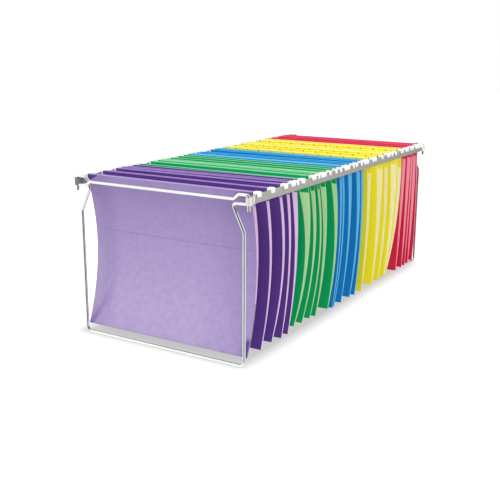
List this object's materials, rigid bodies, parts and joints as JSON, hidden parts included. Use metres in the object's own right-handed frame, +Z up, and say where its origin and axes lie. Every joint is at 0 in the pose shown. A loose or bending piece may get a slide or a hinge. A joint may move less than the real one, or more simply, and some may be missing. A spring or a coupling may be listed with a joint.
{
  "type": "hanging file rack",
  "caption": "Letter-size hanging file rack: a steel wire and rail frame that stands on a desk and carries coloured hanging folders on sliding hooked rods.",
  "frame": {"origin": "on the surface that the rack stands on, under the middle of its rails", "axes": "+Z up, +Y along the rails towards the back end frame, +X to the right seen from the front"},
  "size_m": [0.3222, 0.6902, 0.2557],
  "materials": {
    "wire_steel": "bright drawn and zinc-plated wire",
    "rail_steel": "satin grey coated bar",
    "bracket_steel": "satin plated strap",
    "rod_steel": "rolled strip with white coated ends",
    "rod_tip_white": "white dip coating",
    "purple_card": "smooth coloured folder card, paler inside",
    "green_card": "smooth coloured folder card, paler inside",
    "blue_card": "smooth coloured folder card, paler inside",
    "yellow_card": "smooth coloured folder card, paler inside",
    "red_card": "smooth coloured folder card, paler inside"
  },
  "bodies": {
    "frame": {"left_rail": "rail_steel", "right_rail": "rail_steel", "front_top_wire": "wire_steel", "front_leg_wire": "wire_steel", "front_left_bracket": "bracket_steel", "front_right_bracket": "bracket_steel", "back_top_wire": "wire_steel", "back_leg_wire": "wire_steel", "back_left_bracket": "bracket_steel", "back_right_bracket": "bracket_steel"},
    "purple_1": {"purple_1_sheet": "purple_card", "purple_1_rods": "rod_steel"},
    "purple_2": {"purple_2_sheet": "purple_card", "purple_2_rods": "rod_steel"},
    "purple_3": {"purple_3_sheet": "purple_card", "purple_3_rods": "rod_steel"},
    "purple_4": {"purple_4_sheet": "purple_card", "purple_4_rods": "rod_steel"},
    "purple_5": {"purple_5_sheet": "purple_card", "purple_5_rods": "rod_steel"},
    "green_1": {"green_1_sheet": "green_card", "green_1_rods": "rod_steel"},
    "green_2": {"green_2_sheet": "green_card", "green_2_rods": "rod_steel"},
    "green_3": {"green_3_sheet": "green_card", "green_3_rods": "rod_steel"},
    "green_4": {"green_4_sheet": "green_card", "green_4_rods": "rod_steel"},
    "green_5": {"green_5_sheet": "green_card", "green_5_rods": "rod_steel"},
    "blue_1": {"blue_1_sheet": "blue_card", "blue_1_rods": "rod_steel"},
    "blue_2": {"blue_2_sheet": "blue_card", "blue_2_rods": "rod_steel"},
    "blue_3": {"blue_3_sheet": "blue_card", "blue_3_rods": "rod_steel"},
    "blue_4": {"blue_4_sheet": "blue_card", "blue_4_rods": "rod_steel"},
    "blue_5": {"blue_5_sheet": "blue_card", "blue_5_rods": "rod_steel"},
    "yellow_1": {"yellow_1_sheet": "yellow_card", "yellow_1_rods": "rod_steel"},
    "yellow_2": {"yellow_2_sheet": "yellow_card", "yellow_2_rods": "rod_steel"},
    "yellow_3": {"yellow_3_sheet": "yellow_card", "yellow_3_rods": "rod_steel"},
    "yellow_4": {"yellow_4_sheet": "yellow_card", "yellow_4_rods": "rod_steel"},
    "yellow_5": {"yellow_5_sheet": "yellow_card", "yellow_5_rods": "rod_steel"},
    "red_1": {"red_1_sheet": "red_card", "red_1_rods": "rod_steel"},
    "red_2": {"red_2_sheet": "red_card", "red_2_rods": "rod_steel"},
    "red_3": {"red_3_sheet": "red_card", "red_3_rods": "rod_steel"},
    "red_4": {"red_4_sheet": "red_card", "red_4_rods": "rod_steel"},
    "red_5": {"red_5_sheet": "red_card", "red_5_rods": "rod_steel"}
  },
  "joints": [
    {"name": "purple_1_slide", "type": "slide", "parent": "frame", "child": "purple_1", "axis": [0, 1, 0], "range_m": [-0.0012, 0.0274]},
    {"name": "purple_2_slide", "type": "slide", "parent": "frame", "child": "purple_2", "axis": [0, 1, 0], "range_m": [-0.0274, 0.021]},
    {"name": "purple_3_slide", "type": "slide", "parent": "frame", "child": "purple_3", "axis": [0, 1, 0], "range_m": [-0.021, 0.0012]},
    {"name": "purple_4_slide", "type": "slide", "parent": "frame", "child": "purple_4", "axis": [0, 1, 0], "range_m": [-0.0012, 0.0043]},
    {"name": "purple_5_slide", "type": "slide", "parent": "frame", "child": "purple_5", "axis": [0, 1, 0], "range_m": [-0.0043, 0.0005]},
    {"name": "green_1_slide", "type": "slide", "parent": "frame", "child": "green_1", "axis": [0, 1, 0], "range_m": [-0.0005, 0.0007]},
    {"name": "green_2_slide", "type": "slide", "parent": "frame", "child": "green_2", "axis": [0, 1, 0], "range_m": [-0.0007, 0.0009]},
    {"name": "green_3_slide", "type": "slide", "parent": "frame", "child": "green_3", "axis": [0, 1, 0], "range_m": [-0.0009, 0.0014]},
    {"name": "green_4_slide", "type": "slide", "parent": "frame", "child": "green_4", "axis": [0, 1, 0], "range_m": [-0.0014, 0.0178]},
    {"name": "green_5_slide", "type": "slide", "parent": "frame", "child": "green_5", "axis": [0, 1, 0], "range_m": [-0.0178, 0.0008]},
    {"name": "blue_1_slide", "type": "slide", "parent": "frame", "child": "blue_1", "axis": [0, 1, 0], "range_m": [-0.0008, 0.0006]},
    {"name": "blue_2_slide", "type": "slide", "parent": "frame", "child": "blue_2", "axis": [0, 1, 0], "range_m": [-0.0006, 0.0087]},
    {"name": "blue_3_slide", "type": "slide", "parent": "frame", "child": "blue_3", "axis": [0, 1, 0], "range_m": [-0.0087, 0.0155]},
    {"name": "blue_4_slide", "type": "slide", "parent": "frame", "child": "blue_4", "axis": [0, 1, 0], "range_m": [-0.0155, 0.0019]},
    {"name": "blue_5_slide", "type": "slide", "parent": "frame", "child": "blue_5", "axis": [0, 1, 0], "range_m": [-0.0019, 0.0175]},
    {"name": "yellow_1_slide", "type": "slide", "parent": "frame", "child": "yellow_1", "axis": [0, 1, 0], "range_m": [-0.0175, 0.0207]},
    {"name": "yellow_2_slide", "type": "slide", "parent": "frame", "child": "yellow_2", "axis": [0, 1, 0], "range_m": [-0.0207, 0.0038]},
    {"name": "yellow_3_slide", "type": "slide", "parent": "frame", "child": "yellow_3", "axis": [0, 1, 0], "range_m": [-0.0038, 0.0117]},
    {"name": "yellow_4_slide", "type": "slide", "parent": "frame", "child": "yellow_4", "axis": [0, 1, 0], "range_m": [-0.0117, 0.0008]},
    {"name": "yellow_5_slide", "type": "slide", "parent": "frame", "child": "yellow_5", "axis": [0, 1, 0], "range_m": [-0.0008, 0.0011]},
    {"name": "red_1_slide", "type": "slide", "parent": "frame", "child": "red_1", "axis": [0, 1, 0], "range_m": [-0.0011, 0.0038]},
    {"name": "red_2_slide", "type": "slide", "parent": "frame", "child": "red_2", "axis": [0, 1, 0], "range_m": [-0.0038, 0.0008]},
    {"name": "red_3_slide", "type": "slide", "parent": "frame", "child": "red_3", "axis": [0, 1, 0], "range_m": [-0.0008, 0.0006]},
    {"name": "red_4_slide", "type": "slide", "parent": "frame", "child": "red_4", "axis": [0, 1, 0], "range_m": [-0.0006, 0.0007]},
    {"name": "red_5_slide", "type": "slide", "parent": "frame", "child": "red_5", "axis": [0, 1, 0], "range_m": [-0.0007, 0.0018]}
  ]
}
